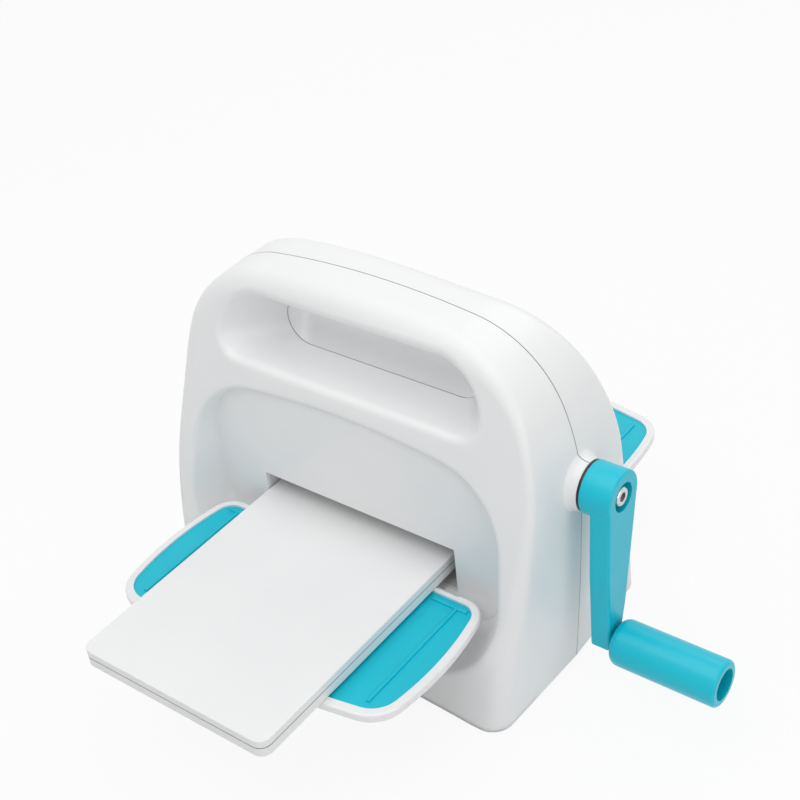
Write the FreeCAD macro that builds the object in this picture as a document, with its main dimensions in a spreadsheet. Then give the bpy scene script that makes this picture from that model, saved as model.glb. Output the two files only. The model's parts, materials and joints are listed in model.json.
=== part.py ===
import FreeCAD
import Part
import Sketcher
import math
import os

# Hand cranked die cutting and embossing machine.
# X runs to the crank side, Y to the back and Z up. The origin lies on the table,
# under the middle of the feed slot and in the seam of the two shell halves.

Vector = FreeCAD.Vector
doc = FreeCAD.newDocument("die_cutting_machine")
sheet = doc.addObject("Spreadsheet::Sheet", "dims")

DRIVING = {
    # arch of the shell in the seam plane, from the crest down
    "crest_height": 258.4, "top_radius": 598.7, "top_turn": 7.5,
    "shoulder_radius": 73.7, "shoulder_turn": 68.8,
    "haunch_radius": 155.4, "haunch_turn": 91.7, "side_radius": 2493,
    "shell_draft": 2, "shell_bottom": 1.5, "wall": 3, "seam_gap": 0.15, "base_rise": 4.5,
    # half depth of the shell at three heights
    "depth_low": 88.5, "depth_middle": 59.5, "depth_high": 30,
    "height_middle": 130, "height_high": 250,
    # rounding of the outer edge at the foot, at the narrowest, and at each change of arc above
    "edge_foot": 15, "edge_narrow": 5, "edge_side": 8, "edge_haunch": 20, "edge_top": 14,
    "narrow_height": 110,
    # tray recess: its outline on the panel, which widens on the way out
    "panel_depth": 44.85, "recess_front": 90, "recess_flare": 15.8, "recess_half_width": 119.6,
    "recess_top": 178, "recess_arch": 600, "recess_shoulder": 48, "recess_corner": 52,
    "recess_bottom": 39, "recess_edge": 2,
    # handle
    "handle_half_length": 78, "handle_bottom": 187, "handle_top": 223, "handle_end": 17.5,
    "scoop_front": 46, "scoop_half_length": 108, "scoop_top": 247.5, "scoop_sole": 195,
    "scoop_shoulder": 34, "scoop_corner": 17, "scoop_edge": 6,
    "slot_half_width": 79.5, "slot_bottom": 66, "slot_top": 102,
    # posts, boss and hinge ears of the shell
    "post_radius": 5, "foot_post_x": 90, "foot_post_y": 62, "foot_span": 115,
    "boss_inside": 136, "boss_face": 152.2, "boss_flare": 7.7, "boss_bush_radius": 10,
    "ear_inner": 42, "ear_outer": 59, "ear_width": 5, "ear_radius": 3.7,
    "screw_radius": 1.4, "sink_depth": 14,
    # plates
    "plate_width": 150, "plate_length": 233.5, "plate_left": -78.5, "plate_front": -225.5,
    "platform_bottom": 75.4, "platform_thickness": 7, "pad_thickness": 5.6, "plate_corner": 8,
    "plate_edge": 0.6,
    # trays: the sides and the front are arcs
    "tray_half_width": 116.2, "tray_widest": 112, "tray_side": 220, "tray_arch": 480,
    "tray_back": 54.4, "tray_front": 166, "tray_top": 75.2, "tray_thickness": 7.5,
    "tray_back_corner": 17, "tray_front_corner": 24, "tray_rim": 5.25, "tray_groove": 89,
    "insert_field": 73.7, "insert_thickness": 1.5, "rib_place": 91.8, "rib_width": 2.6,
    "hinge_depth": 54.5, "hinge_height": 66.5, "pin_radius": 2, "hinge_gap": 0.6,
    # rollers and gears
    "roller_radius": 15.5, "roller_half_length": 80, "journal_radius": 8,
    "lower_axis": 59.7, "roller_pitch": 44, "gear_module": 2, "gear_width": 10,
    "gear_start": 91, "sync_teeth": 22, "drive_teeth": 35, "pinion_teeth": 15,
    "flat_depth": 1.2, "clip_thickness": 1.2,
    # side frames
    "frame_inside": 84, "frame_thickness": 4, "frame_half_depth": 38, "frame_top": 170,
    "frame_knee": 118, "frame_crown": 22, "frame_foot": 110, "frame_screw_radius": 2.5,
    "flange_screw_x": 99, "flange_screw_y": 26, "foot_x": 112, "foot_y": 58,
    "bush_radius": 11, "cover_bottom": 7, "cover_thickness": 3,
    "cover_half_width": 128, "cover_half_depth": 74,
    # crank
    "shaft_radius": 7, "hub_radius": 17.35, "hub_start": 155.7, "hub_end": 177.2,
    "arm_start": 163, "grip_radius": 15.6, "grip_start": 178.5, "grip_end": 253,
    "grip_depth": -12.2, "grip_height": 46.5, "running_fit": 0.05,
    "shaft_end": 168, "crank_screw_radius": 4, "counterbore_radius": 9.8, "counterbore_floor": 170,
    "spindle_radius": 4, "grip_floor": 11.5, "grip_bore": 10.6,
}


class Size:
    """A length with the sheet expression that it comes from."""

    def __init__(self, value, text):
        self.value = value
        self.text = text

    def join(self, sign, other, value):
        return Size(value, f"({self.text} {sign} {words(other)})")

    def __add__(self, other):
        return self.join("+", other, self.value + number(other))

    def __sub__(self, other):
        return self.join("-", other, self.value - number(other))

    def __mul__(self, other):
        return self.join("*", other, self.value * number(other))

    def __truediv__(self, other):
        return self.join("/", other, self.value / number(other))

    def __neg__(self):
        return Size(-self.value, f"(0 - {self.text})")

    def __radd__(self, other):
        return self + other

    def __rsub__(self, other):
        return -self + other

    def __rmul__(self, other):
        return self * other


def number(value):
    return value.value if isinstance(value, Size) else float(value)


def words(value):
    return value.text if isinstance(value, Size) else repr(round(float(value), 6))


def span(start, stop):
    """The length from one place to another."""
    return Size(number(stop) - number(start), f"({words(stop)} - {words(start)})")


def sine(angle):
    return Size(math.sin(math.radians(number(angle))), f"sin({words(angle)})")


def cosine(angle):
    return Size(math.cos(math.radians(number(angle))), f"cos({words(angle)})")


def root(value):
    return Size(math.sqrt(number(value)), f"sqrt({words(value)})")


class Dimensions:
    """The cells of the sheet as attributes."""

    def __init__(self, table):
        for row, (alias, value) in enumerate(table.items(), 1):
            sheet.set(f"A{row}", alias)
            sheet.set(f"B{row}", str(value))
            sheet.setAlias(f"B{row}", alias)
            setattr(self, alias, Size(float(value), f"dims.{alias}"))


D = Dimensions(DRIVING)
D.upper_axis = D.lower_axis + D.roller_pitch
D.crank_axis = D.upper_axis + D.gear_module * (D.drive_teeth + D.pinion_teeth) / 2
doc.recompute()


def bind(item, **sizes):
    """Sets properties of an object from sizes, keeping their expressions."""
    for name, size in sizes.items():
        setattr(item, name, number(size))
        if isinstance(size, Size):
            item.setExpression(name, size.text)


def place(item, x=0, y=0, z=0, rotation=None):
    """Puts an object at a point given by sizes."""
    turn = rotation or FreeCAD.Rotation()
    item.Placement = FreeCAD.Placement(Vector(number(x), number(y), number(z)), turn)
    for axis, size in zip("xyz", (x, y, z)):
        if isinstance(size, Size):
            item.setExpression(f".Placement.Base.{axis}", size.text)
    return item


# Part primitives and joins

ALONG_X = FreeCAD.Rotation(Vector(0, 1, 0), 90)
ALONG_Y = FreeCAD.Rotation(Vector(1, 0, 0), -90)
ALONG = {"X": ALONG_X, "Y": ALONG_Y, "Z": FreeCAD.Rotation()}


def box(label, x0, x1, y0, y1, z0, z1):
    item = doc.addObject("Part::Box", label)
    bind(item, Length=span(x0, x1), Width=span(y0, y1), Height=span(z0, z1))
    return place(item, x0, y0, z0)


def sided(side, low, high):
    """The two ends of a stretch on the right side, or of its mirror image on the left."""
    return (low, high) if side > 0 else (-high, -low)


def rod(label, along, radius, start, stop, a, b):
    """A cylinder along an axis; a and b are its two other coordinates, in XYZ order."""
    item = doc.addObject("Part::Cylinder", label)
    bind(item, Radius=radius, Height=span(start, stop))
    spot = {"X": (start, a, b), "Y": (a, start, b), "Z": (a, b, start)}[along]
    return place(item, *spot, rotation=ALONG[along])


def cone(label, along, radius_a, radius_b, start, stop, a, b):
    item = doc.addObject("Part::Cone", label)
    bind(item, Radius1=radius_a, Radius2=radius_b, Height=span(start, stop))
    spot = {"X": (start, a, b), "Y": (a, start, b), "Z": (a, b, start)}[along]
    return place(item, *spot, rotation=ALONG[along])


def fused(label, items):
    item = doc.addObject("Part::MultiFuse", label)
    item.Shapes = items
    return item


def cut(label, base, tools):
    """Takes the tools away from the base, one after another."""
    for index, tool in enumerate(tools, 1):
        item = doc.addObject("Part::Cut", label if index == len(tools) else f"{label}_{index}")
        item.Base = base
        item.Tool = tool
        base = item
    return base


def mirrored(label, source, normal):
    item = doc.addObject("Part::Mirroring", label)
    item.Source = source
    item.Normal = normal
    return item


def compound(label, items):
    item = doc.addObject("Part::Compound", label)
    item.Links = items
    return item


def rounded(label, base, radius_of):
    """Fillets the edges for which radius_of gives a radius for each end."""
    doc.recompute()
    item = doc.addObject("Part::Fillet", label)
    item.Base = base
    chosen = []
    for index, edge in enumerate(base.Shape.Edges, 1):
        radii = radius_of(edge)
        if radii:
            chosen.append((index, radii[0], radii[1]))
    item.Edges = chosen
    return item


# Sketches and bodies

def new_body(label):
    return doc.addObject("PartDesign::Body", label)


def sketch_on(body, role, offset=0):
    """An empty sketch on one of the body's own origin planes, moved along its normal."""
    plane = next(item for item in body.Origin.OriginFeatures if item.Role == role)
    item = body.newObject("Sketcher::SketchObject", body.Label + "_sketch")
    item.AttachmentSupport = [(plane, "")]
    item.MapMode = "FlatFace"
    item.AttachmentOffset = FreeCAD.Placement(Vector(0, 0, number(offset)), FreeCAD.Rotation())
    if isinstance(offset, Size):
        item.setExpression(".AttachmentOffset.Base.z", offset.text)
    return item


def pin(sketch, geometry, end, x, y):
    """Holds one end of a curve at a point given by sizes."""
    for kind, axis, size in (("DistanceX", -2, x), ("DistanceY", -1, y)):
        if not isinstance(size, Size) and abs(size) < 1e-9:
            sketch.addConstraint(Sketcher.Constraint("PointOnObject", geometry, end, axis))
            continue
        index = sketch.addConstraint(
            Sketcher.Constraint(kind, -1, 1, geometry, end, number(size)))
        if isinstance(size, Size):
            sketch.setExpression(f"Constraints[{index}]", size.text)


def outline(body, role, corners, offset=0):
    """A closed outline; a corner is (x, y) before a line, or (x, y, radius) before an arc.
    A positive radius turns left on the way to the next corner, a negative one right."""
    sketch = sketch_on(body, role, offset)
    ends = []
    for here, after in zip(corners, corners[1:] + corners[:1]):
        start = Vector(number(here[0]), number(here[1]), 0)
        stop = Vector(number(after[0]), number(after[1]), 0)
        if len(here) == 2:
            sketch.addGeometry(Part.LineSegment(start, stop))
            ends.append((1, 2))
            continue
        radius = abs(number(here[2]))
        side = 1 if number(here[2]) > 0 else -1
        chord = stop - start
        left = Vector(-chord.y, chord.x, 0).normalize()
        rise = math.sqrt(radius ** 2 - (chord.Length / 2) ** 2)
        centre = (start + stop) / 2 + left * rise * side
        first, last = (start, stop) if side > 0 else (stop, start)
        angles = [math.atan2(p.y - centre.y, p.x - centre.x) for p in (first, last)]
        circle = Part.Circle(centre, Vector(0, 0, 1), radius)
        sketch.addGeometry(Part.ArcOfCircle(circle, angles[0], angles[1]))
        ends.append((1, 2) if side > 0 else (2, 1))
    count = len(corners)
    for index in range(count):
        following = (index + 1) % count
        sketch.addConstraint(Sketcher.Constraint(
            "Coincident", index, ends[index][1], following, ends[following][0]))
        pin(sketch, index, ends[index][0], corners[index][0], corners[index][1])
        if len(corners[index]) == 3:
            size = corners[index][2]
            size = size if number(size) > 0 else -size
            place_of = sketch.addConstraint(
                Sketcher.Constraint("Radius", index, number(size)))
            if isinstance(size, Size):
                sketch.setExpression(f"Constraints[{place_of}]", size.text)
    return sketch


def circles(body, role, rounds, offset=0):
    """A sketch of circles, each (x, y, radius)."""
    sketch = sketch_on(body, role, offset)
    for x, y, radius in rounds:
        centre = Vector(number(x), number(y), 0)
        index = sketch.addGeometry(Part.Circle(centre, Vector(0, 0, 1), number(radius)))
        pin(sketch, index, 3, x, y)
        place_of = sketch.addConstraint(Sketcher.Constraint("Radius", index, number(radius)))
        if isinstance(radius, Size):
            sketch.setExpression(f"Constraints[{place_of}]", radius.text)
    return sketch


def pad(body, sketch, length, taper=0):
    item = body.newObject("PartDesign::Pad", body.Label + "_pad")
    item.Profile = sketch
    bind(item, Length=length)
    if number(taper):
        bind(item, TaperAngle=taper)
    return item


def pocket(body, sketch, length=None):
    """A cut to both sides of a sketch, through everything where no length is given."""
    item = body.newObject("PartDesign::Pocket", body.Label + "_pocket")
    item.Profile = sketch
    item.Midplane = True
    if length is None:
        item.Type = "ThroughAll"
    else:
        bind(item, Length=length)
    return item


def revolve(body, sketch, turn_axis):
    item = body.newObject("PartDesign::Revolution", body.Label + "_turning")
    item.Profile = sketch
    item.ReferenceAxis = (sketch, [turn_axis])
    item.Angle = 360
    return item


def loft(body, first, second):
    item = body.newObject("PartDesign::AdditiveLoft", body.Label + "_loft")
    item.Profile = first
    item.Sections = [second]
    item.Ruled = True
    return item


def soften(body, feature, radius, chosen):
    """Fillets the edges of a feature that chosen picks."""
    doc.recompute()
    names = [f"Edge{index}" for index, edge in enumerate(feature.Shape.Edges, 1) if chosen(edge)]
    item = body.newObject("PartDesign::Fillet", body.Label + "_edges")
    item.Base = (feature, names)
    bind(item, Radius=radius)
    return item


def turned(label, corners, y=0, z=0):
    """A piece turned about the X axis: corners are (x, radius), then it is put at y and z."""
    body = new_body(label)
    sketch = outline(body, "XY_Plane", corners)
    revolve(body, sketch, "H_Axis")
    return place(body, 0, y, z)


# Shell

TO_BACK = Vector(0, 1, 0)
BASE_SCREW_RADIUS = 1.5
BASE_SCREW_END = 26
REST_TOP = D.tray_top - D.tray_thickness - D.running_fit
REST_WIDTH = 6


def arch_points(inset):
    """Corners of the arch, anticlockwise from the lower right, with the arcs between."""
    turns = [0, D.top_turn, D.shoulder_turn, D.haunch_turn]
    radii = [D.top_radius - inset, D.shoulder_radius - inset, D.haunch_radius - inset,
             D.side_radius - inset]
    x = 0
    z = D.crest_height - D.top_radius
    changes = []
    for index in range(3):
        turn = turns[index + 1]
        changes.append((x + radii[index] * sine(turn), z + radii[index] * cosine(turn)))
        shift = radii[index] - radii[index + 1]
        x = x + shift * sine(turn)
        z = z + shift * cosine(turn)

    def on_side(height):
        rise = z - height
        return x + root(radii[3] * radii[3] - rise * rise), height

    top, shoulder, haunch = changes
    narrow, foot = on_side(D.narrow_height), on_side(FORM_FOOT)
    right = [(*foot, radii[3]), (*narrow, radii[3]), (*haunch, radii[2]), (*shoulder, radii[1]),
             (*top, radii[0])]
    left = [(-top[0], top[1], radii[1]), (-shoulder[0], shoulder[1], radii[2]),
            (-haunch[0], haunch[1], radii[3]), (-narrow[0], narrow[1], radii[3]),
            (-foot[0], foot[1])]
    return right + left


# Forms and cutters run on below the table, and are cut off at the shell's bottom.
FORM_FOOT = -20


def front_bow(inset):
    """Centre and radius of the arc that the front follows in the YZ plane."""
    low, middle, high = (number(size) - number(inset)
                         for size in (D.depth_low, D.depth_middle, D.depth_high))
    bow = Part.Circle(Vector(-low, 0, 0), Vector(-middle, number(D.height_middle), 0),
                      Vector(-high, number(D.height_high), 0))
    return bow.Center, bow.Radius


def edge_radius(height):
    """Radius of the outer edge, set at each change of arc and even between two of them."""
    heights = [number(point[1]) for point in arch_points(0)[:5]]
    radii = [number(size) for size in
             (D.edge_foot, D.edge_narrow, D.edge_side, D.edge_haunch, D.edge_top)]
    for low, high, at_low, at_high in zip(heights, heights[1:], radii, radii[1:]):
        if height < high:
            return at_low + (at_high - at_low) * (height - low) / (high - low)
    return radii[-1]


def half_form(label, inset):
    """The front half of the arched form, set in from the outside by inset."""
    body = new_body(label)
    pad(body, outline(body, "XZ_Plane", arch_points(inset)), D.depth_low + 20, taper=-D.shell_draft)
    centre, radius = front_bow(inset)
    below, above, far = -40, 300, -150

    def front_at(height):
        return centre.x - math.sqrt(radius ** 2 - (height - centre.y) ** 2)

    off = [(front_at(below), below), (far, below), (far, above),
           (front_at(above), above, radius)]
    pocket(body, outline(body, "YZ_Plane", off), 400)
    doc.recompute()
    face = max((face for face in body.Shape.Faces if face.BoundBox.YMax < -20),
               key=lambda face: face.Area)

    def radii(edge):
        if not any(edge.isSame(other) for other in face.Edges) or edge.BoundBox.ZMax < 0:
            return None
        ends = [edge.valueAt(edge.FirstParameter), edge.valueAt(edge.LastParameter)]
        return [edge_radius(point.z) - number(inset) / 2 for point in ends]
    return rounded(label + "_rounded", body, radii)


def recess_points(grow):
    """The tray recess's outline, an arch over a foot with round corners, widened by grow."""
    half = D.recess_half_width + grow
    shoulder = D.recess_shoulder + grow
    corner = D.recess_corner + grow
    arch = D.recess_arch + grow
    bottom = D.recess_bottom - grow
    lean = (half - shoulder) / (arch - shoulder)
    level = root(1 - lean * lean)
    spring = D.recess_top + grow - arch + (arch - shoulder) * level
    knee_x = half - shoulder + shoulder * lean
    knee_z = spring + shoulder * level
    return [(half - corner, bottom, corner), (half, bottom + corner), (half, spring, shoulder),
            (knee_x, knee_z, arch), (-knee_x, knee_z, shoulder), (-half, spring),
            (-half, bottom + corner, corner), (corner - half, bottom)]


def recess(label, grow):
    """The room that the folded tray lies in, from the panel out through the front."""
    body = new_body(label)
    back = outline(body, "XZ_Plane", recess_points(grow), D.panel_depth - grow)
    front = outline(body, "XZ_Plane", recess_points(D.recess_flare + grow), D.recess_front - grow)
    loft(body, back, front)
    return body


def handle_points(half, bottom, top, low_corner, high_corner):
    return [(half - low_corner, bottom, low_corner), (half, bottom + low_corner),
            (half, top - high_corner, high_corner), (half - high_corner, top),
            (high_corner - half, top, high_corner), (-half, top - high_corner),
            (-half, bottom + low_corner, low_corner), (low_corner - half, bottom)]


def handle_scoop():
    """The funnel from the stadium shaped opening at the seam out through the front."""
    body = new_body("handle_scoop")
    seam = outline(body, "XZ_Plane", handle_points(
        D.handle_half_length, D.handle_bottom, D.handle_top, D.handle_end, D.handle_end))
    front = outline(body, "XZ_Plane", handle_points(
        D.scoop_half_length, D.scoop_sole, D.scoop_top, D.scoop_corner, D.scoop_shoulder),
        D.scoop_front)
    loft(body, seam, front)
    return body


def mouth_of(cutter, depth, radius):
    """Gives the radius to the edges, further out than a depth, where the cutter breaks out."""
    def radii(edge):
        first, last = edge.FirstParameter, edge.LastParameter
        points = [edge.valueAt(at) for at in (first, (first + last) / 2, last)]
        if all(point.y < -number(depth) and
               cutter.Shape.distToShape(Part.Vertex(point))[0] < 0.05 for point in points):
            return number(radius), number(radius)
        return None
    return radii


def boss_form():
    """The boss that the crank shaft comes out of, flared where it meets the shell's side."""
    flare = D.boss_flare
    return turned("boss", [
        (D.boss_inside, 0), (D.boss_face, 0), (D.boss_face, D.hub_radius, -flare),
        (D.boss_face - flare, D.hub_radius + flare), (D.boss_inside, D.hub_radius + flare)],
        0, D.crank_axis)


def posts():
    """What stays solid inside the shell: screw posts, the boss's core and the grip."""
    solids = [rod("boss_core", "X", D.hub_radius, D.boss_inside, D.boss_face, 0, D.crank_axis),
              box("grip_core", -D.scoop_half_length - D.wall, D.scoop_half_length + D.wall,
                  -D.depth_low, 1, D.handle_bottom - D.wall, D.crest_height)]
    for index, (x, z) in enumerate(SCREW_SPOTS):
        solids.append(rod(f"post_{index}", "Y", D.post_radius, -D.depth_low, 0, x, z))
    for side in (-1, 1):
        solids.append(rod(f"foot_post_{side}", "Z", D.post_radius, D.cover_bottom + D.cover_thickness,
                          D.recess_bottom, side * D.foot_post_x, -D.foot_post_y))
    return solids


def hinge_ears():
    """Ears that hold the tray's pins, and the rests that the open tray lies on."""
    solids = []
    root_depth = D.panel_depth - 1
    foot = D.hinge_height - 4.5
    for side in (-1, 1):
        for start in (D.ear_inner, D.ear_outer):
            x0, x1 = sided(side, start, start + D.ear_width)
            name = f"ear_{side}_{number(start):.0f}"
            solids.append(box(name, x0, x1, -D.hinge_depth, -root_depth, foot, D.hinge_height))
            solids.append(rod(name + "_eye", "X", D.ear_radius, x0, x1, -D.hinge_depth, D.hinge_height))
        x0, x1 = sided(side, D.ear_outer + D.ear_width, D.ear_outer + D.ear_width + REST_WIDTH)
        rest = D.hinge_depth + 6
        solids.append(box(f"rest_arm_{side}", x0, x1, -rest, -root_depth, foot - 2, foot + 2))
        solids.append(box(f"rest_{side}", x0, x1, -rest, 4 - rest, foot, REST_TOP))
    return solids


def shell_half():
    """The front half: the outer form less its cutters, hollow, with posts for the screws."""
    scoop = handle_scoop()
    mouth = recess("recess", 0)
    carved = cut("carved_form", half_form("outer_form", 0), [mouth, scoop])
    carved = rounded("scoop_edge", carved, mouth_of(scoop, D.scoop_front / 2, D.scoop_edge))
    carved = rounded("recess_edge", carved, mouth_of(mouth, D.panel_depth + 0.5, D.recess_edge))
    skin = fused("skin", [carved, boss_form()])
    cavity = cut("cavity", half_form("inner_form", D.wall), [recess("recess_wall", D.wall)] + posts())
    room = 200
    seam = box("seam_side", -room, room, -D.seam_gap, room, -50, 300)
    below = box("below", -room, room, -room, room, -60, D.shell_bottom)
    chord = D.foot_span * D.foot_span / (D.base_rise * 2)
    arch = rod("base_arch", "Y", chord, -room, room, 0, D.shell_bottom + D.base_rise - chord)
    slot = box("feed_slot", -D.slot_half_width, D.slot_half_width, -D.panel_depth - 10, -20,
               D.slot_bottom, D.slot_top)
    bore = rod("shaft_bore", "X", D.boss_bush_radius, D.boss_inside - 1, D.boss_face + 1, 0, D.crank_axis)
    hollow = cut("hollow_shell", skin, [cavity, seam, below, arch, slot, bore])
    drills = []
    for side in (-1, 1):
        x0, x1 = sided(side, D.ear_inner - 1, D.ear_outer + D.ear_width + 1)
        drills.append(rod(f"pin_hole_{side}", "X", D.pin_radius, x0, x1, -D.hinge_depth, D.hinge_height))
        drills.append(rod(f"foot_hole_{side}", "Z", BASE_SCREW_RADIUS, 0, BASE_SCREW_END + 2,
                          side * D.foot_post_x, -D.foot_post_y))
    return cut("front_half", fused("shell_with_ears", [hollow] + hinge_ears()), drills)


SHELL_SCREWS = ((126, 30), (134, 104), (114, 209))
SCREW_SPOTS = [(side * x, z) for x, z in SHELL_SCREWS for side in (-1, 1)]


def shells():
    """Both halves: pilot holes in the front one, clearance and counterbores in the rear one."""
    half = shell_half()
    whole_back = mirrored("rear_half", half, TO_BACK)
    pilots = []
    sinks = []
    for index, (x, z) in enumerate(SCREW_SPOTS):
        pilots.append(rod(f"pilot_{index}", "Y", D.screw_radius, -20, 1, x, z))
        sinks.append(rod(f"clearance_{index}", "Y", D.screw_radius, -1, 20, x, z))
        sinks.append(rod(f"counterbore_{index}", "Y", D.screw_radius * 2.5, D.sink_depth, 100, x, z))
    return cut("front_shell", half, pilots), cut("rear_shell", whole_back, sinks)


def shell_screws():
    screws = []
    for index, (x, z) in enumerate(SCREW_SPOTS):
        shank = rod(f"shell_shank_{index}", "Y", D.screw_radius, -18, D.sink_depth, x, z)
        head = rod(f"shell_head_{index}", "Y", D.screw_radius * 2.2, D.sink_depth,
                   D.sink_depth + 2.4, x, z)
        screws.append(fused(f"shell_screw_{index}", [shank, head]))
    return compound("shell_screws", screws)


# Plates

def plate(label, bottom, thickness):
    body = new_body(label)
    right = D.plate_left + D.plate_width
    back = D.plate_front + D.plate_length
    corners = [(D.plate_left, D.plate_front), (right, D.plate_front), (right, back),
               (D.plate_left, back)]
    slab = pad(body, outline(body, "XY_Plane", corners, bottom), thickness)
    slab = soften(body, slab, D.plate_corner, lambda edge: edge.BoundBox.ZLength > 1)
    soften(body, slab, D.plate_edge, lambda edge: edge.BoundBox.ZLength < 0.1)
    return body


# Trays

def tray_slab(label, inset, bottom, top):
    """The tray's outline, set in from its edge by inset."""
    body = new_body(label)
    side = D.tray_side - inset
    arch = D.tray_arch - inset

    def half_width(depth):
        along = depth - D.tray_widest
        return D.tray_half_width - D.tray_side + root(side * side - along * along)

    back, front = D.tray_back + inset, D.tray_front - inset
    corners = [(-half_width(back), -back, side), (-half_width(front), -front, arch),
               (half_width(front), -front, side), (half_width(back), -back)]
    slab = pad(body, outline(body, "XY_Plane", corners, bottom), span(bottom, top))
    rear = soften(body, slab, D.tray_back_corner - inset,
                  lambda edge: edge.BoundBox.ZLength > 1 and edge.BoundBox.YMin > -100)
    soften(body, rear, D.tray_front_corner - inset,
           lambda edge: edge.BoundBox.ZLength > 1 and edge.BoundBox.YMax < -140)
    return body


def tray():
    """The front tray: a shallow dish with two hinge knuckles between the shell's ears."""
    bottom = D.tray_top - D.tray_thickness
    floor = D.insert_field - D.insert_thickness
    slab = tray_slab("tray_slab", 0, bottom, D.tray_top)
    doc.recompute()
    slab = rounded("tray_soft", slab, lambda edge: tray_edge(edge, number(bottom)))
    knuckles = []
    groove_back = D.tray_back + 1.1
    cutters = [tray_slab("tray_well", D.tray_rim, floor, D.tray_top + 1),
               box("tray_groove", -D.tray_groove, D.tray_groove, -groove_back - 0.9, -groove_back,
                   D.tray_top - 1.6, D.tray_top + 1)]
    for side in (-1, 1):
        x0, x1 = sided(side, D.ear_inner + D.ear_width + D.hinge_gap, D.ear_outer - D.hinge_gap)
        knuckles.append(rod(f"knuckle_{side}", "X", D.ear_radius, x0, x1, -D.hinge_depth, D.hinge_height))
        for start in (D.ear_inner, D.ear_outer):
            x0, x1 = sided(side, start - D.hinge_gap, start + D.ear_width + D.hinge_gap)
            cutters.append(rod(f"ear_room_{side}_{number(start):.0f}", "X", D.ear_radius + D.hinge_gap,
                               x0, x1, -D.hinge_depth, D.hinge_height))
        x0, x1 = sided(side, D.ear_inner - 1, D.ear_outer + D.ear_width + 1)
        cutters.append(rod(f"knuckle_bore_{side}", "X", D.pin_radius + D.running_fit, x0, x1,
                           -D.hinge_depth, D.hinge_height))
    return cut("front_tray", fused("tray_body", [slab] + knuckles), cutters)


def tray_edge(edge, bottom):
    """A large rounding under the tray's rim and a small one on top, not along its back."""
    bounds = edge.BoundBox
    if bounds.ZLength > 1 or bounds.YMin > -1 - number(D.tray_back):
        return None
    return (3, 3) if bounds.ZMax < bottom + 1 else (1.6, 1.6)


def tray_insert():
    """The coloured panel in the tray with its guide ribs."""
    floor = D.insert_field - D.insert_thickness
    panel = tray_slab("insert_panel", D.tray_rim, floor, D.insert_field)
    solids = [panel]
    top = D.insert_field - 0.3
    for side in (-1, 1):
        x0, x1 = sided(side, D.rib_place, D.rib_place + D.rib_width)
        solids.append(rib(f"rib_{side}", x0, x1, -157, -64, top))
        x0, x1 = sided(side, 74, 101)
        solids.append(rib(f"bar_{side}", x0, x1, -65.8, -62.4, top))
    return fused("front_tray_insert", solids)


def rib(label, x0, x1, y0, y1, foot):
    """A bar as high as the tray's rim, rounded along its top."""
    bar = box(label + "_bar", x0, x1, y0, y1, foot, D.tray_top)
    return rounded(label, bar, lambda edge: (1, 1) if edge.BoundBox.ZMin > number(D.tray_top) - 0.1
                   else None)


def hinge_pins():
    pins = []
    for side in (-1, 1):
        x0, x1 = sided(side, D.ear_inner, D.ear_outer + D.ear_width)
        pins.append(rod(f"hinge_pin_{side}", "X", D.pin_radius, x0, x1, -D.hinge_depth, D.hinge_height))
    return compound("front_hinge_pins", pins)


# Rollers and gears

def flat_of(label, x0, x1, radius, axis):
    """The block that a D shaped seat lacks."""
    return box(label, x0, x1, -12, 12, axis + radius - D.flat_depth, axis + radius + 6)


def seat(label, x0, x1, radius, axis):
    """A D shaped bore to take out of what sits on a shaft."""
    shaft = rod(label + "_round", "X", radius, x0, x1, 0, axis)
    return cut(label, shaft, [flat_of(label + "_flat", x0, x1, radius, axis)])


def gear(label, teeth, axis, start, bore, turn=0.0):
    """A spur gear with straight stretches for its involute flanks."""
    module = number(D.gear_module)
    count = int(number(teeth))
    pitch = module * count / 2
    base = pitch * math.cos(math.radians(20))
    bottom = pitch - 1.25 * module

    def involute(radius):
        slope = math.acos(min(base / radius, 1))
        return math.tan(slope) - slope

    def half_gap(radius):
        tooth = math.pi / (2 * count) - 0.1 / pitch + involute(pitch) - involute(max(radius, base))
        return math.pi / count - tooth

    body = new_body(label + "_teeth")
    sheet_radius = D.gear_module * (teeth / 2 + 1)
    blank = pad(body, circles(body, "YZ_Plane", [(0, 0, sheet_radius)]), D.gear_width)
    levels = [pitch + module + 1, pitch + module * 0.4, pitch - module * 0.4, bottom]
    right = [(level * math.sin(half_gap(level)), level * math.cos(half_gap(level)))
             for level in levels]
    left = [(-x, y) for x, y in reversed(right)]
    gap = pocket(body, outline(body, "YZ_Plane", left + right))
    pattern = body.newObject("PartDesign::PolarPattern", label + "_pattern")
    pattern.Originals = [gap]
    pattern.Axis = (blank.Profile[0], ["N_Axis"])
    pattern.Angle = 360
    pattern.Occurrences = count
    body.Tip = pattern
    place(body, start, 0, axis, FreeCAD.Rotation(Vector(1, 0, 0), turn))
    return cut(label, body, [seat(label + "_bore", start - 1, start + D.gear_width + 1, bore, axis)])


def roller(label, axis, right_end, gear_sides):
    """A steel roller turned in one piece with its journals, flats and clip grooves."""
    half = D.roller_half_length
    journal = D.journal_radius
    left_end = -D.gear_start - D.gear_width - 4
    corners = [(left_end, 0), (right_end, 0), (right_end, journal), (half, journal),
               (half, D.roller_radius - 0.6), (half - 0.6, D.roller_radius),
               (0.6 - half, D.roller_radius), (-half, D.roller_radius - 0.6),
               (-half, journal), (left_end, journal)]
    body = turned(label + "_turned", corners, 0, axis)
    tools = []
    for side in gear_sides:
        x0, x1 = sided(side, D.gear_start, D.gear_start + D.gear_width + 4)
        tools.append(flat_of(f"{label}_flat_{side}", x0, x1, journal, axis))
        tools.append(clip_ring(f"{label}_groove_{side}", side, journal, axis, journal + 1))
    return cut(label, body, tools)


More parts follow.
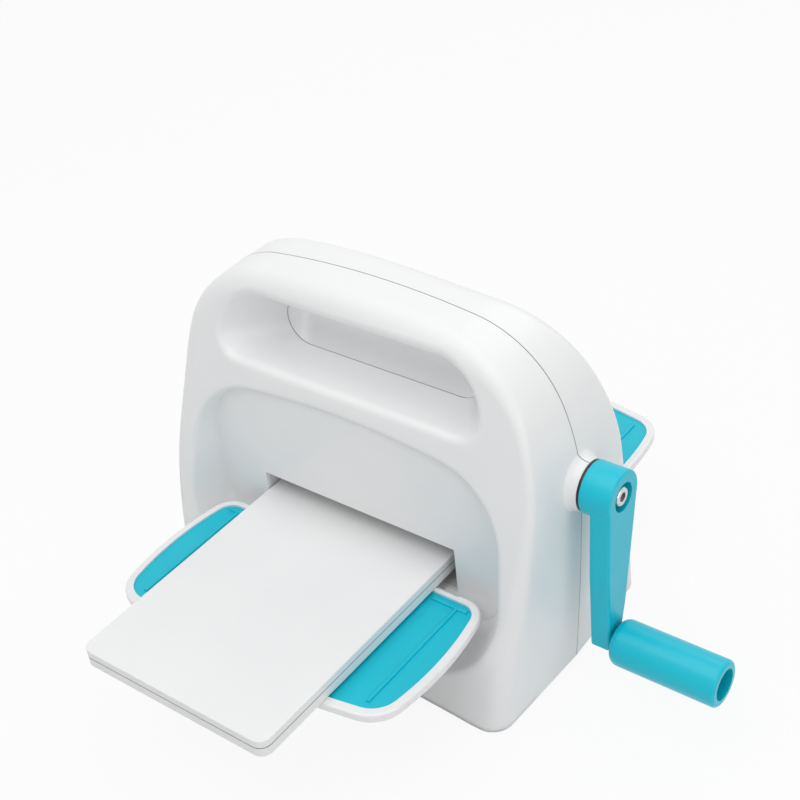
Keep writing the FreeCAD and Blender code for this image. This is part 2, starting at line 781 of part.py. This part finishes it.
def clip_ring(label, side, radius, axis, outside):
    """The ring that a clip fills, from the bottom of its groove outwards."""
    near = D.gear_start + D.gear_width + 0.2
    x0, x1 = sided(side, near, near + D.clip_thickness)
    outer_round = rod(label + "_outer", "X", outside, x0, x1, 0, axis)
    inner_round = rod(label + "_inner", "X", radius - 1, x0 - 1, x1 + 1, 0, axis)
    return cut(label, outer_round, [inner_round])


def clip(label, side, radius, axis):
    """An open retaining ring in its groove."""
    ring = clip_ring(label + "_ring", side, radius, axis, radius + 3)
    x0, x1 = sided(side, D.gear_start, D.gear_start + D.gear_width * 2)
    mouth = box(label + "_mouth", x0, x1, -radius * 0.6, radius * 0.6, axis - 20, axis)
    return cut(label, ring, [mouth])


def bush(label, side, bore, outside, axis):
    """A flanged plain bearing in a side frame."""
    inside = D.frame_inside
    end = D.gear_start - 0.3
    start = inside - 3.5
    corners = [(start, bore), (end, bore), (end, outside), (inside, outside),
               (inside, outside + 2), (start, outside + 2)]
    if side < 0:
        corners = [(-x, r) for x, r in reversed(corners)]
    return turned(label, corners, 0, axis)


# Side frames and base

def frame(label, bores):
    """The right side plate with its bent foot; bores are (height, radius)."""
    body = new_body(label + "_plate")
    depth = D.frame_half_depth
    foot = D.cover_bottom + D.cover_thickness
    corners = [(-depth, foot), (depth, foot), (depth, D.frame_knee), (D.frame_crown, D.frame_top),
               (-D.frame_crown, D.frame_top), (-depth, D.frame_knee)]
    slab = pad(body, outline(body, "YZ_Plane", corners, D.frame_inside), D.frame_thickness)
    soften(body, slab, 8, lambda edge: edge.BoundBox.XLength > 1 and edge.BoundBox.ZMin > 100)
    flange = box(label + "_flange", D.frame_inside, D.frame_foot, -depth, depth, foot, foot + 4)
    tools = [rod(f"{label}_bore_{number(height):.0f}", "X", radius, 80, 95, 0, height)
             for height, radius in bores]
    for index, (y, z) in enumerate(ROD_SPOTS):
        tools.append(rod(f"{label}_rod_hole_{index}", "X", D.frame_screw_radius, 80, 95, y, z))
    for side in (-1, 1):
        tools.append(rod(f"{label}_foot_hole_{side}", "Z", D.frame_screw_radius, 5, 20,
                         D.flange_screw_x, side * D.flange_screw_y))
    return cut(label, fused(label + "_bent", [body, flange]), tools)


ROD_SPOTS = ((-32, 26), (32, 26), (-28, 138), (28, 138))


def tie_rods():
    rods = []
    for index, (y, z) in enumerate(ROD_SPOTS):
        bar = rod(f"tie_bar_{index}", "X", 5, -D.frame_inside, D.frame_inside, y, z)
        holes = [rod(f"tie_hole_{index}_{side}", "X", D.frame_screw_radius,
                     *sided(side, D.frame_inside - 14, D.frame_inside + 1), y, z)
                 for side in (-1, 1)]
        rods.append(cut(f"tie_rod_{index}", bar, holes))
    return compound("tie_rods", rods)


def frame_screws():
    screws = []
    face = D.frame_inside + D.frame_thickness
    for index, (y, z) in enumerate(ROD_SPOTS):
        for side in (-1, 1):
            name = f"frame_screw_{index}_{side}"
            head = rod(name + "_head", "X", 4.5, *sided(side, face, face + 2.7), y, z)
            shank = rod(name + "_shank", "X", D.frame_screw_radius, *sided(side, face - 16, face), y, z)
            screws.append(fused(name, [head, shank]))
    return compound("frame_screws", screws)


def base_cover():
    body = new_body("base_plate")
    x, y = D.cover_half_width, D.cover_half_depth
    slab = pad(body, outline(body, "XY_Plane", [(-x, -y), (x, -y), (x, y), (-x, y)], D.cover_bottom),
               D.cover_thickness)
    soften(body, slab, 18, lambda edge: edge.BoundBox.ZLength > 1)
    holes = [rod(f"cover_hole_{index}", "Z", radius, 0, 20, x, y)
             for index, (x, y, radius, head, top) in enumerate(base_screw_spots())]
    return cut("base_cover", body, holes)


def base_screw_spots():
    """Places, shank and head radii and upper ends of the screws through the base cover."""
    spots = []
    for side in (-1, 1):
        for end in (-1, 1):
            spots.append((side * D.foot_post_x, end * D.foot_post_y, BASE_SCREW_RADIUS, 3.2,
                          BASE_SCREW_END))
            spots.append((side * D.flange_screw_x, end * D.flange_screw_y,
                          D.frame_screw_radius, 4.4, 14))
    return spots


def base_screws():
    screws = []
    for index, (x, y, radius, head, top) in enumerate(base_screw_spots()):
        cap = rod(f"base_head_{index}", "Z", head, D.cover_bottom - 2.4, D.cover_bottom, x, y)
        shank = rod(f"base_shank_{index}", "Z", radius, D.cover_bottom, top, x, y)
        screws.append(fused(f"base_screw_{index}", [cap, shank]))
    return compound("base_screws", screws)


def rubber_feet():
    feet = []
    for side in (-1, 1):
        for end in (-1, 1):
            feet.append(cone(f"foot_{side}_{end}", "Z", 8.5, 10, 0, D.cover_bottom,
                             side * D.foot_x, end * D.foot_y))
    return compound("rubber_feet", feet)


# Crank

def crank_shaft():
    start = D.frame_inside - 6
    collar = D.frame_inside - 3.8
    radius = D.shaft_radius
    corners = [(start, 0), (D.shaft_end, 0), (D.shaft_end, radius), (collar, radius),
               (collar, radius + 2), (start, radius + 2)]
    body = turned("crank_shaft_turned", corners, 0, D.crank_axis)
    tools = [flat_of("pinion_flat", D.gear_start, D.gear_start + D.gear_width, radius, D.crank_axis),
             flat_of("hub_flat", D.hub_start, D.shaft_end + 1, radius, D.crank_axis),
             clip_ring("crank_shaft_groove", 1, radius, D.crank_axis, radius + 1),
             rod("crank_screw_thread", "X", D.crank_screw_radius, D.shaft_end - 18, D.shaft_end + 1,
                 0, D.crank_axis)]
    return cut("crank_shaft", body, tools)


def crank_arm():
    """Hub and tapered arm in one moulding."""
    start, end, radius = D.hub_start, D.hub_end, D.hub_radius
    hub = turned("crank_hub", [(start, 0), (end, 0), (end, radius - 1.5, 1.5), (end - 1.5, radius),
                               (start + 1, radius, 1), (start, radius - 1)], 0, D.crank_axis)
    body = new_body("crank_blade")
    corners = [(-20, 42), (-3.4, 42), (-2.6, 55), (1.5, 69), (12.8, 127), (D.hub_radius - 0.4, 150),
               (0, 160), (0.4 - D.hub_radius, 150), (-19.6, 100)]
    blade = pad(body, outline(body, "YZ_Plane", corners, D.arm_start), end - D.arm_start)
    soften(body, blade, 2, lambda edge: edge.BoundBox.XLength < 1 and edge.BoundBox.ZMax < 151)
    tools = [seat("hub_bore", start - 1, D.shaft_end, D.shaft_radius, D.crank_axis),
             rod("hub_screw_hole", "X", D.crank_screw_radius, D.shaft_end - 1, end + 1, 0, D.crank_axis),
             rod("hub_counterbore", "X", D.counterbore_radius, D.counterbore_floor, end + 1, 0,
                 D.crank_axis),
             rod("spindle_hole", "X", D.spindle_radius, D.arm_start - 1, end + 1, D.grip_depth,
                 D.grip_height)]
    return cut("crank_arm", fused("crank_solid", [hub, body]), tools)


def hexagon_socket(label, start, stop, width, y, z):
    """The six sided hole in a screw's head."""
    item = doc.addObject("Part::Prism", label)
    item.Polygon = 6
    bind(item, Circumradius=width, Height=span(start, stop))
    return place(item, start, y, z, ALONG_X)


def crank_screw():
    head = D.counterbore_floor
    body = turned("crank_screw_turned", [
        (D.shaft_end - 16, 0), (head + 6.6, 0), (head + 6.6, 5.7), (head + 6, 6.3), (head, 6.3),
        (head, D.crank_screw_radius), (D.shaft_end - 16, D.crank_screw_radius)], 0, D.crank_axis)
    hexagon = hexagon_socket("crank_screw_socket", head + 2.5, head + 8, 3.4, 0, D.crank_axis)
    return cut("crank_screw", body, [hexagon])


def crank_spacer():
    end = D.hub_start
    start = D.boss_face + 0.4
    return turned("crank_spacer", [(start, D.shaft_radius), (end, D.shaft_radius),
                                   (end, D.hub_radius - 0.8), (start, D.hub_radius - 0.8)],
                  0, D.crank_axis)


def grip():
    start, end, radius = D.grip_start, D.grip_end, D.grip_radius
    hole = D.spindle_radius + D.running_fit
    floor = start + D.grip_floor
    corners = [(start, hole), (floor, hole), (floor, D.grip_bore), (end, D.grip_bore),
               (end, radius - 2.5, 2.5), (end - 2.5, radius), (start + 6, radius, 6),
               (start, radius - 6)]
    return turned("grip", corners, D.grip_depth, D.grip_height)


def grip_spindle():
    """The shoulder screw that the grip turns on."""
    start = D.arm_start + 2
    shoulder = D.grip_start + D.grip_floor + 0.25
    radius = D.spindle_radius
    body = turned("grip_spindle_turned", [
        (start, 0), (shoulder + 4, 0), (shoulder + 4, 6), (shoulder + 3.4, 6.6), (shoulder, 6.6),
        (shoulder, radius), (start, radius)], D.grip_depth, D.grip_height)
    hexagon = hexagon_socket("spindle_socket", shoulder + 1.5, shoulder + 6, 3, D.grip_depth,
                             D.grip_height)
    return cut("grip_spindle", body, [hexagon])


def crank_bushes():
    inner_bush = bush("crank_bush_inner", 1, D.shaft_radius + D.running_fit, D.boss_bush_radius,
                      D.crank_axis)
    outer_bush = turned("crank_bush_outer", [
        (D.boss_inside, D.shaft_radius + D.running_fit), (D.boss_face, D.shaft_radius + D.running_fit),
        (D.boss_face, D.boss_bush_radius), (D.boss_inside, D.boss_bush_radius)], 0, D.crank_axis)
    return compound("crank_shaft_bushes", [inner_bush, outer_bush])


def roller_bushes():
    bore = D.journal_radius + D.running_fit
    parts = [bush(f"roller_bush_{side}_{number(axis):.0f}", side, bore, D.bush_radius, axis)
             for side in (-1, 1) for axis in (D.lower_axis, D.upper_axis)]
    return compound("roller_bushes", parts)


def gears_and_rollers():
    left = -D.gear_start - D.gear_width
    half_step = 180 / number(D.sync_teeth)
    journal = D.journal_radius
    roller_bores = [(D.lower_axis, D.bush_radius), (D.upper_axis, D.bush_radius)]
    left_source = frame("left_source", roller_bores)
    return {
        "upper_roller": roller("upper_roller", D.upper_axis, D.gear_start + D.gear_width + 4, (-1, 1)),
        "lower_roller": roller("lower_roller", D.lower_axis, D.gear_start - 1.5, (-1,)),
        "upper_sync_gear": gear("upper_sync_gear", D.sync_teeth, D.upper_axis, left, journal),
        "lower_sync_gear": gear("lower_sync_gear", D.sync_teeth, D.lower_axis, left, journal,
                                half_step),
        "roller_drive_gear": gear("roller_drive_gear", D.drive_teeth, D.upper_axis, D.gear_start,
                                  journal),
        "crank_pinion": gear("crank_pinion", D.pinion_teeth, D.crank_axis, D.gear_start,
                             D.shaft_radius),
        "upper_roller_clips": compound("upper_roller_clips", [
            clip("upper_clip_left", -1, journal, D.upper_axis),
            clip("upper_clip_right", 1, journal, D.upper_axis)]),
        "lower_roller_clip": clip("lower_roller_clip", -1, journal, D.lower_axis),
        "crank_shaft_clip": clip("crank_shaft_clip", 1, D.shaft_radius, D.crank_axis),
        "roller_bushes": roller_bushes(),
        "right_frame": frame("right_frame", roller_bores + [(D.crank_axis, D.boss_bush_radius)]),
        "left_frame": mirrored("left_frame", left_source, Vector(1, 0, 0)),
    }


nodes = gears_and_rollers()
nodes["tie_rods"] = tie_rods()
nodes["frame_screws"] = frame_screws()
nodes["base_cover"] = base_cover()
nodes["base_screws"] = base_screws()
nodes["rubber_feet"] = rubber_feet()
nodes["crank_shaft"] = crank_shaft()
nodes["crank_arm"] = crank_arm()
nodes["crank_screw"] = crank_screw()
nodes["crank_spacer"] = crank_spacer()
nodes["crank_shaft_bushes"] = crank_bushes()
nodes["grip"] = grip()
nodes["grip_spindle"] = grip_spindle()
nodes["platform_plate"] = plate("platform_plate", D.platform_bottom, D.platform_thickness)
nodes["cutting_plate"] = plate("cutting_plate", D.platform_bottom + D.platform_thickness,
                               D.pad_thickness)
for name, item in (("tray", tray()), ("tray_insert", tray_insert()), ("hinge_pins", hinge_pins())):
    nodes["front_" + name] = item
    nodes["rear_" + name] = mirrored("rear_" + name, item, TO_BACK)
nodes["front_shell"], nodes["rear_shell"] = shells()
nodes["shell_screws"] = shell_screws()
doc.recompute()

failed = [item.Label for item in doc.Objects
          if "Invalid" in item.State or "Error" in item.State]
for label, item in nodes.items():
    if item.Shape.isNull() or not item.Shape.isValid():
        failed.append(label)
if failed:
    raise RuntimeError("not built: " + ", ".join(sorted(set(failed))))
os.makedirs("parts", exist_ok=True)
for label, item in nodes.items():
    item.Shape.exportStep(f"parts/{label}.step")
print(len(nodes), "nodes written")
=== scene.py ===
import json
import math

import bmesh
import bpy
from mathutils import Matrix, Vector


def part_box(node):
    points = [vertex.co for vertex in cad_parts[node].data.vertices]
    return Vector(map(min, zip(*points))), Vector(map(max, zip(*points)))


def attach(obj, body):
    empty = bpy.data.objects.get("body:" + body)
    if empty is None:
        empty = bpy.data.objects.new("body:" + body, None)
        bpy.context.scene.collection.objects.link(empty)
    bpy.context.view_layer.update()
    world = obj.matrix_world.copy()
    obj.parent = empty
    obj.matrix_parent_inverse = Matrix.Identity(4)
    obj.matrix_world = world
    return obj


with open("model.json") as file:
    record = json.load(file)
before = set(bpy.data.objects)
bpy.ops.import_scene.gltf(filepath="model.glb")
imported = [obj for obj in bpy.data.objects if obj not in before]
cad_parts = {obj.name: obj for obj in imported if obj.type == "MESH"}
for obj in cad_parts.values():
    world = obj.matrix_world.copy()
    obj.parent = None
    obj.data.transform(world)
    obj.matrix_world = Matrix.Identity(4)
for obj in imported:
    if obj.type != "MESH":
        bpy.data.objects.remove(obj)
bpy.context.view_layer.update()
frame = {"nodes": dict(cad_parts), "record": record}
NODES = frame["nodes"]
SLOTS = {part["node"]: part["material_slot"] for part in frame["record"]["subparts"]}

# Where pieces meet: the shell's two halves at Y = 0, and the two plates one on the other. Dark
# lines of painted shade are put in both places.
PLATES_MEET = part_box("cutting_plate")[0][2]
JOINT_CORE, JOINT_FADE = 0.0002, 0.0005
SEAM_SHADE = (0.34, 0.34, 0.345, 1)
PLATE_JOINT_SHADE = (0.22, 0.22, 0.225, 1)

# The shell's edges look rounder than they are, from this depth on both sides of the seam.
SOFT_RADIUS, SOFT_FROM, SOFT_FADE = 0.006, 0.0455, 0.001

WHITE_LIGHT = (1, 1, 1, 1)
ROOM_GLOW = 0.47


class Value:
    """A shader socket that adds and multiplies as a number does."""

    def __init__(self, finish, socket):
        self.finish = finish
        self.socket = socket

    def __add__(self, other):
        return self.finish.maths("ADD", self, other)

    def __sub__(self, other):
        return self.finish.maths("SUBTRACT", self, other)

    def __mul__(self, other):
        return self.finish.maths("MULTIPLY", self, other)

    def __rsub__(self, other):
        return self.finish.maths("SUBTRACT", other, self)

    def __abs__(self):
        return self.finish.maths("ABSOLUTE", self)

    __radd__ = __add__
    __rmul__ = __mul__

    def most(self, other):
        return self.finish.maths("MAXIMUM", self, other)

    def between(self, low, high):
        """0 at low and 1 at high, held at both ends."""
        sockets = {"Value": self, "From Min": low, "From Max": high}
        return self.finish.node("ShaderNodeMapRange", {"clamp": True}, sockets)


class Finish:
    """The nodes of one material, or of the room's light."""

    def __init__(self, owner, end="ShaderNodeOutputMaterial"):
        self.owner = owner
        owner.use_nodes = True
        self.tree = owner.node_tree
        self.tree.nodes.clear()
        self.end = self.tree.nodes.new(end)

    def node(self, kind, settings=None, sockets=None, out=0):
        made = self.tree.nodes.new(kind)
        for name, setting in (settings or {}).items():
            setattr(made, name, setting)
        for name, value in (sockets or {}).items():
            if isinstance(value, Value):
                self.tree.links.new(value.socket, made.inputs[name])
            else:
                made.inputs[name].default_value = value
        return Value(self, made.outputs[out])

    def maths(self, operation, *numbers):
        return self.node("ShaderNodeMath", {"operation": operation}, dict(enumerate(numbers)))

    def place(self):
        """Where a point is on the object, in metres."""
        return self.node("ShaderNodeTexCoord", out="Object")

    def facing(self):
        """Which way the surface faces."""
        return self.node("ShaderNodeNewGeometry", out="Normal")

    def along(self, axis, vector):
        """The part of a vector that lies along X, Y or Z."""
        return self.node("ShaderNodeSeparateXYZ", {}, {"Vector": vector}, out=axis)

    def joint_line(self, axis, height):
        """1 in a thin line round the object where two pieces meet, at a height on an axis."""
        away = abs(self.along(axis, self.place()) - height)
        return 1 - away.between(JOINT_CORE, JOINT_FADE)

    def edge_faces(self):
        """1 on the upright edges of a lying sheet, 0 on its two flat faces."""
        flat, rounded = 0.99, 0.9
        return abs(self.along("Z", self.facing())).between(flat, rounded)

    def softened(self):
        """Normals that blend over the shell's outer edges, and stay plain near the seam."""
        soft = self.node("ShaderNodeBevel", {"samples": 6}, {"Radius": SOFT_RADIUS})
        depth = abs(self.along("Y", self.place()))
        outer = depth.between(SOFT_FROM, SOFT_FROM + SOFT_FADE)
        amount, first, second, mixed = 0, 4, 5, 1
        sockets = {amount: outer, first: self.facing(), second: soft}
        return self.node("ShaderNodeMix", {"data_type": "VECTOR"}, sockets, out=mixed)

    def noise(self, scale, detail=2, stretch=(1, 1, 1)):
        where = self.node("ShaderNodeMapping", {}, {"Vector": self.place(), "Scale": stretch})
        sockets = {"Vector": where, "Scale": scale, "Detail": detail}
        return self.node("ShaderNodeTexNoise", {}, sockets)

    def blend(self, share, colour, deeper):
        """The colour where share is 0, the deeper one where it is 1."""
        amount, first, second, mixed = 0, 6, 7, 2
        sockets = {amount: share, first: colour, second: deeper}
        return self.node("ShaderNodeMix", {"data_type": "RGBA"}, sockets, out=mixed)

    def relief(self, height, depth, strength, under=None):
        """Height made into a bump, on normals that are plain or given."""
        sockets = {"Height": height, "Distance": depth, "Strength": strength}
        if under is not None:
            sockets["Normal"] = under
        return self.node("ShaderNodeBump", {}, sockets)

    def surface(self, **sockets):
        named = {name.replace("_", " "): value for name, value in sockets.items()}
        self.show(self.node("ShaderNodeBsdfPrincipled", {}, named))
        return self

    def show(self, shader):
        self.tree.links.new(shader.socket, self.end.inputs["Surface"])


def finish_called(name):
    return Finish(bpy.data.materials.new(name))


def moulded(name, colour, deeper, rough, grain=1500, peel=0.00002, index=1.5, seam=False):
    """Injection moulded plastic: faint flow in the colour, spark-eroded grain, handled patches."""
    finish = finish_called(name)
    flow = finish.noise(scale=9, detail=3, stretch=(1, 1, 0.6)).between(0.35, 0.7)
    speck = finish.noise(scale=grain)
    rub = finish.noise(scale=38, detail=4, stretch=(1, 1, 1.4)).between(0.42, 0.66)
    tint = finish.blend(flow * 0.6 + speck * 0.15, (*colour, 1), (*deeper, 1))
    under = None
    if seam:
        # Painted shade: a dark grey line along the seam between the shell's two halves.
        tint = finish.blend(finish.joint_line("Y", 0), tint, SEAM_SHADE)
        under = finish.softened()
    return finish.surface(
        Base_Color=tint,
        Roughness=rough - rub * 0.06 + speck * 0.05,
        Normal=finish.relief(speck, depth=peel, strength=0.35, under=under),
        IOR=index,
    )


def sheet_plastic(name, colour, deeper):
    """Calendered sheet: a dry matt face with hair scratches from use, and a line of painted shade
    where the plates meet.
    """
    finish = finish_called(name)
    grain = finish.noise(scale=2600)
    lengthwise = finish.noise(scale=240, detail=3, stretch=(0.05, 3, 3)).between(0.63, 0.72)
    crosswise = finish.noise(scale=200, detail=3, stretch=(3, 0.06, 3)).between(0.64, 0.74)
    scratch = lengthwise + crosswise
    cloud = finish.noise(scale=14, detail=3).between(0.4, 0.65)
    tint = finish.blend(cloud * 0.5 + scratch * 0.25, (*colour, 1), (*deeper, 1))
    # Painted shade: a dark line on the upright edges, at the height where the two plates meet.
    joint_shade = finish.joint_line("Z", PLATES_MEET) * finish.edge_faces()
    return finish.surface(
        Base_Color=finish.blend(joint_shade, tint, PLATE_JOINT_SHADE),
        Roughness=0.42 + grain * 0.08 - scratch * 0.08,
        Normal=finish.relief(grain * 0.5 - scratch * 0.4, depth=0.00003, strength=0.5),
        IOR=1.5,
    )


def metal(name, colour, deeper, rough, scale, stretch=(1, 1, 1), lines=0.00001):
    """Steel or bronze with the marks of the tool that finished it."""
    finish = finish_called(name)
    mark = finish.noise(scale=scale, detail=3, stretch=stretch)
    cloud = finish.noise(scale=45, detail=3).between(0.35, 0.7)
    return finish.surface(
        Base_Color=finish.blend(cloud * 0.6 + mark * 0.3, (*colour, 1), (*deeper, 1)),
        Metallic=1.0,
        Roughness=rough + mark * 0.12 - cloud * 0.05,
        Normal=finish.relief(mark, depth=lines, strength=0.4),
    )


WHITE = moulded(
    "satin_white_shell", (0.845, 0.85, 0.852), (0.815, 0.82, 0.828), rough=0.36, seam=True
)
# Painted shade: the throats are mid grey rather than shell white, for the shade deep inside the
# slots.
THROAT_SHADE = moulded("shaded_inner_moulding", (0.68, 0.68, 0.685), (0.63, 0.63, 0.635), rough=0.5)
TRAY = moulded(
    "gloss_white_tray", (0.85, 0.855, 0.857), (0.82, 0.825, 0.832),
    rough=0.26, grain=1800, peel=0.00001,
)
TURQUOISE = moulded(
    "turquoise_moulding", (0.003, 0.53, 0.67), (0.003, 0.49, 0.63),
    rough=0.32, grain=1300, index=1.42,
)
PLATE = sheet_plastic("white_cutting_plate", (0.84, 0.845, 0.847), (0.81, 0.815, 0.822))
# Painted shade: the ring between the crank boss and the hub is near black, so that it reads as the
# shaded gap there.
GAP_SHADE_RING = moulded(
    "black_ring_for_gap_shade", (0.012, 0.012, 0.014), (0.02, 0.02, 0.022), rough=0.4, grain=900
)
COVER = moulded(
    "black_base_cover", (0.018, 0.018, 0.02), (0.026, 0.026, 0.028),
    rough=0.48, grain=700, peel=0.00006,
)
ROLLER = metal(
    "ground_roller_steel", (0.55, 0.55, 0.56), (0.46, 0.46, 0.47),
    rough=0.26, scale=300, stretch=(6, 1, 1),
)
ZINC = metal("zinc_plated_steel", (0.56, 0.57, 0.58), (0.44, 0.46, 0.47), rough=0.34, scale=120)
GEAR = metal(
    "sintered_gear_steel", (0.3, 0.3, 0.31), (0.2, 0.2, 0.21),
    rough=0.42, scale=900, lines=0.00003,
)
BRONZE = metal("oiled_bronze", (0.42, 0.24, 0.09), (0.3, 0.16, 0.06), rough=0.32, scale=500)
BRIGHT = metal("polished_screw_steel", (0.66, 0.66, 0.67), (0.58, 0.58, 0.6), rough=0.2, scale=400)
BLACKED = metal(
    "blackened_screw_steel", (0.05, 0.05, 0.055), (0.03, 0.03, 0.032), rough=0.38, scale=500
)
RUBBER = moulded(
    "soft_rubber", (0.02, 0.02, 0.02), (0.03, 0.03, 0.03), rough=0.7, grain=1800, peel=0.00005
)

FINISHES = {
    "white_shell": WHITE,
    "turquoise": TURQUOISE,
    "white_plate": PLATE,
    "black_ring": GAP_SHADE_RING,
    "black_cover": COVER,
    "roller_steel": ROLLER,
    "zinc_steel": ZINC,
    "gear_steel": GEAR,
    "bronze": BRONZE,
    "bright_steel": BRIGHT,
    "black_steel": BLACKED,
    "rubber": RUBBER,
}
GLOSSY = {"front_tray": TRAY, "rear_tray": TRAY}


def dress(made, finish):
    made.data.materials.clear()
    made.data.materials.append(finish.owner)


def piece(name, shape, body, finish, smooth=True):
    """A finished bmesh as a piece of the object that moves with a body."""
    mesh = bpy.data.meshes.new(name)
    same_point = 0.000001
    bmesh.ops.remove_doubles(shape, verts=shape.verts, dist=same_point)
    bmesh.ops.recalc_face_normals(shape, faces=shape.faces)
    shape.to_mesh(mesh)
    shape.free()
    for face in mesh.polygons:
        face.use_smooth = smooth
    made = bpy.data.objects.new(name, mesh)
    bpy.context.scene.collection.objects.link(made)
    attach(made, body)
    dress(made, finish)
    return made


def boss_lip():
    """Thin moulded lip of the crank boss round the dark ring, with a narrow gap to the hub."""
    low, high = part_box("crank_spacer")
    ring_radius = (high[2] - low[2]) / 2
    axis_height = (high[2] + low[2]) / 2
    behind, reach, clearance, wall, round_off = 0.0004, 0.0014, 0.0001, 0.0008, 0.0003
    start, end = low[0] - behind, low[0] + reach
    inner, outer = ring_radius + clearance, ring_radius + wall
    section = [
        (start, inner),
        (start, outer),
        (end - round_off, outer),
        (end, outer - round_off),
        (end, inner),
    ]
    shape = bmesh.new()
    corners = [shape.verts.new((x, 0, radius)) for x, radius in section]
    edges = [shape.edges.new(pair) for pair in zip(corners, corners[1:] + corners[:1])]
    bmesh.ops.spin(
        shape, geom=corners + edges, cent=(0, 0, 0), axis=(1, 0, 0), angle=2 * math.pi,
        steps=96, use_merge=True,
    )
    bmesh.ops.translate(shape, verts=shape.verts, vec=(0, 0, axis_height))
    lip = piece("boss_lip", shape, "chassis", WHITE)
    lip.data.set_sharp_from_angle(angle=math.radians(35))


def slot_throats():
    """Moulded throats behind both feed slots that lead the plates to the rollers."""
    width, low, high = 0.159, 0.066, 0.102
    near, far, wall = 0.0225, 0.0419, 0.0014
    size = (width, far - near, high - low)
    for name, side in (("front", -1), ("rear", 1)):
        shape = bmesh.new()
        bmesh.ops.create_cube(shape, size=1)
        bmesh.ops.scale(shape, verts=shape.verts, vec=size)
        middle = (0, side * (near + far) / 2, (low + high) / 2)
        bmesh.ops.translate(shape, verts=shape.verts, vec=middle)
        ends = [face for face in shape.faces if abs(face.normal.y) > 0.5]
        bmesh.ops.delete(shape, geom=ends, context="FACES")
        bmesh.ops.recalc_face_normals(shape, faces=shape.faces)
        bmesh.ops.solidify(shape, geom=shape.faces[:], thickness=-wall)
        piece(f"slot_throat_{name}", shape, "chassis", THROAT_SHADE, smooth=False)


def camera():
    """Stands where the photograph was taken from."""
    lens = bpy.data.cameras.new("camera")
    lens.sensor_width = 36
    lens.lens = 68.58
    lens.clip_end = 20
    place = (0.5388, -0.6124, 0.7412)
    right = Vector((0.7967, 0.5967, -0.0960)).normalized()
    up = Vector((-0.2863, 0.5125, 0.8095))
    back = right.cross(up).normalized()
    turn = Matrix((right, back.cross(right).normalized(), back)).transposed()
    eye = bpy.data.objects.new("camera", lens)
    eye.matrix_world = Matrix.Translation(place) @ turn.to_4x4()
    bpy.context.scene.collection.objects.link(eye)
    bpy.context.scene.camera = eye


# Name, place, width and height, and power of each softbox. All of them point at AIM.
SOFTBOXES = (
    ("overhead", (-0.1, -0.4, 1.9), (1.9, 1.9), 18),
    ("front", (-0.3, -1.6, 1.9), (1.6, 1.6), 2.5),
    ("side", (1.9, -0.5, 0.8), (1.4, 1.4), 8),
    ("back", (0.1, 1.6, 1.7), (1.4, 1.2), 8),
)
AIM = Vector((0, 0, 0.1))


def softbox(name, place, size, power):
    light = bpy.data.lights.new(name, "AREA")
    light.shape = "RECTANGLE"
    light.size, light.size_y = size
    light.energy = power
    lamp = bpy.data.objects.new(name, light)
    lamp.location = place
    lamp.rotation_euler = (AIM - lamp.location).to_track_quat("-Z", "Y").to_euler()
    bpy.context.scene.collection.objects.link(lamp)


def seen(finish):
    """1 where the camera, or a mirror or glass, looks straight at the surface."""
    rays = ("Is Camera Ray", "Is Glossy Ray", "Is Transmission Ray")
    straight, mirrored, through = [finish.node("ShaderNodeLightPath", out=ray) for ray in rays]
    return straight.most(mirrored).most(through)


def shown_as(finish, share, lit, bare):
    """The lit shader where share is 0, the bare one where it is 1."""
    finish.show(finish.node("ShaderNodeMixShader", {}, {0: share, 1: lit, 2: bare}))


def room():
    """Soft light from all round, which the camera sees as white paper."""
    world = bpy.data.worlds.new("studio")
    bpy.context.scene.world = world
    sky = Finish(world, "ShaderNodeOutputWorld")
    glow = sky.node("ShaderNodeBackground", {}, {"Color": WHITE_LIGHT, "Strength": ROOM_GLOW})
    paper = sky.node("ShaderNodeBackground", {}, {"Color": WHITE_LIGHT, "Strength": 1.0})
    shown_as(sky, seen(sky), glow, paper)


def floor():
    """A pale floor that looks like the white room and keeps the object's shadow."""
    bpy.ops.mesh.primitive_grid_add(x_subdivisions=2, y_subdivisions=2, size=12)
    sheet = bpy.context.object
    sheet.name = "floor"
    ground = finish_called("pale_floor")
    matt = ground.node("ShaderNodeBsdfDiffuse", {}, {"Color": (0.8, 0.8, 0.8, 1)})
    paper = ground.node("ShaderNodeEmission", {}, {"Color": WHITE_LIGHT, "Strength": 1.0})
    paper_share = 0.9
    shown_as(ground, seen(ground) * paper_share, matt, paper)
    dress(sheet, ground)


for name, node in NODES.items():
    dress(node, GLOSSY.get(name, FINISHES[SLOTS[name]]))

boss_lip()
slot_throats()
camera()
for row in SOFTBOXES:
    softbox(*row)
room()
floor()

bpy.context.scene.view_settings.view_transform = "Standard"
